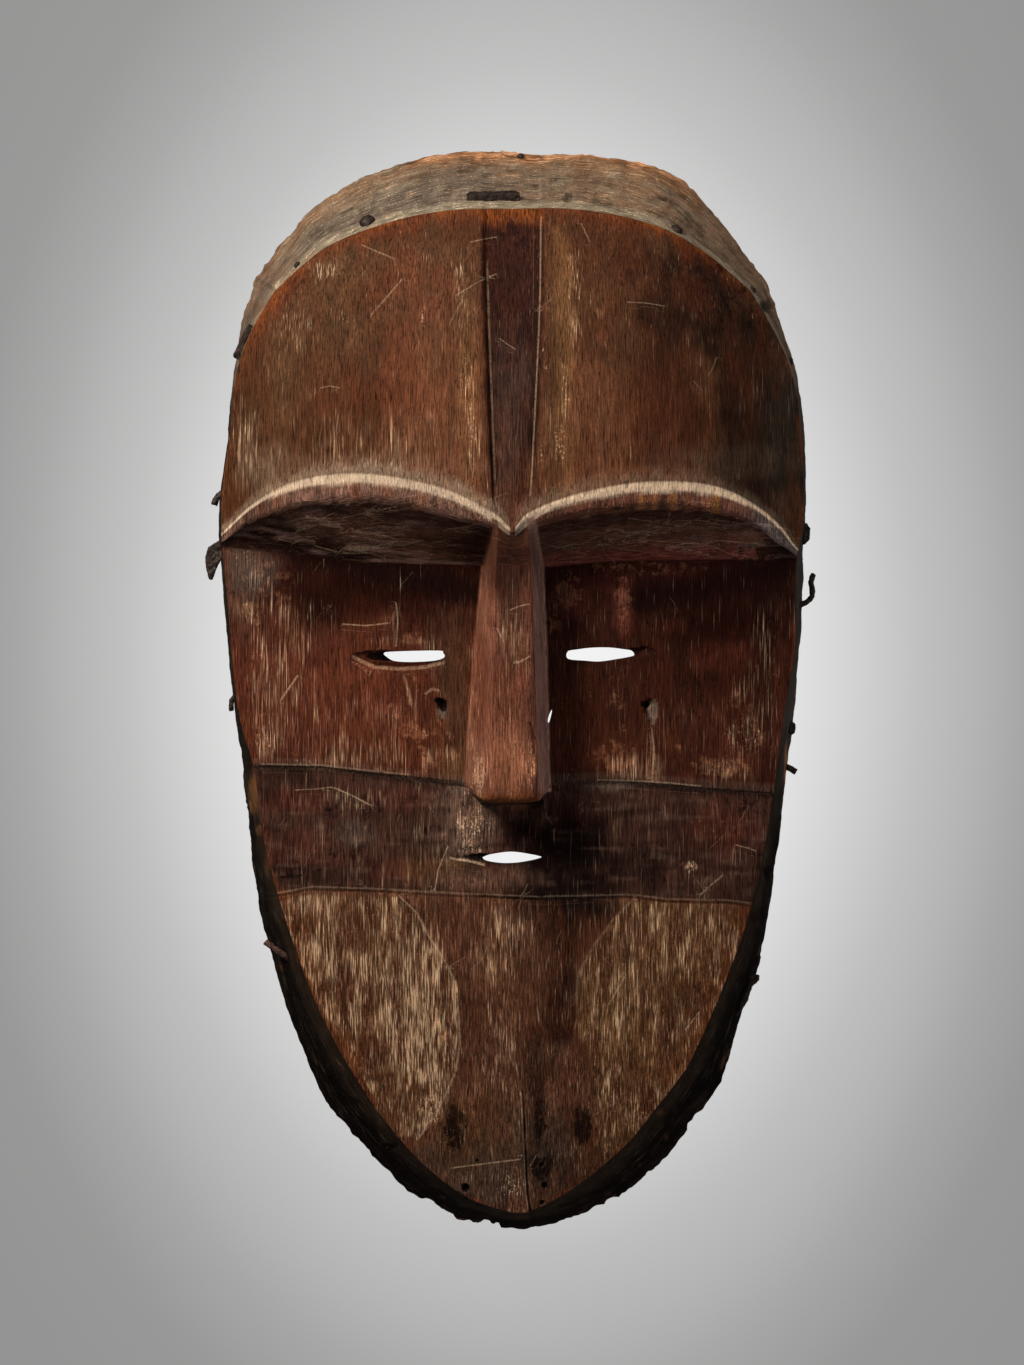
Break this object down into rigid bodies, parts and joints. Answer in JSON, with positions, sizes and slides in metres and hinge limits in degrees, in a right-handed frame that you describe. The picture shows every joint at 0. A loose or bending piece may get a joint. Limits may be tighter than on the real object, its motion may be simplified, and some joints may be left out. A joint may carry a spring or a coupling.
{
  "type": "carved wooden face mask",
  "caption": "Carved wooden face mask, hollow behind, with a domed forehead and sunken strip, overhanging brow, wedge nose, slit eyes and mouth, and iron nails in its walls.",
  "frame": {"origin": "middle of the bounding box of the whole mask, on the flat plane of the back rim", "axes": "+X to the viewer's right when facing the mask, +Y towards the crown along the mask's height, +Z out of the face, away from the back rim"},
  "size_m": [0.2133, 0.3796, 0.084],
  "materials": {
    "carved_wood": "old hand-carved hardwood, oiled red-brown patina, worn to pale wood on edges, near black walls",
    "iron": "forged iron, dark brown rust, matt",
    "twig": "weathered twig with its bark off, dry, reddish brown"
  },
  "bodies": {
    "root": {"mask_body": "carved_wood", "crown_staple": "iron", "crown_nail_left": "iron", "temple_nail_left": "iron", "temple_staple_left": "iron", "crown_nail_right": "iron", "temple_nail_right": "iron", "side_nail_upper_right": "iron", "side_nail_right": "iron", "bent_nail_right": "iron", "stub_nail_right": "iron", "peg_nail_right": "iron", "iron_strap_right": "iron", "side_nail_left": "iron", "hook_left": "iron", "stub_nail_left": "iron", "crown_back_nail": "iron", "twig_peg_left": "twig"}
  },
  "joints": []
}
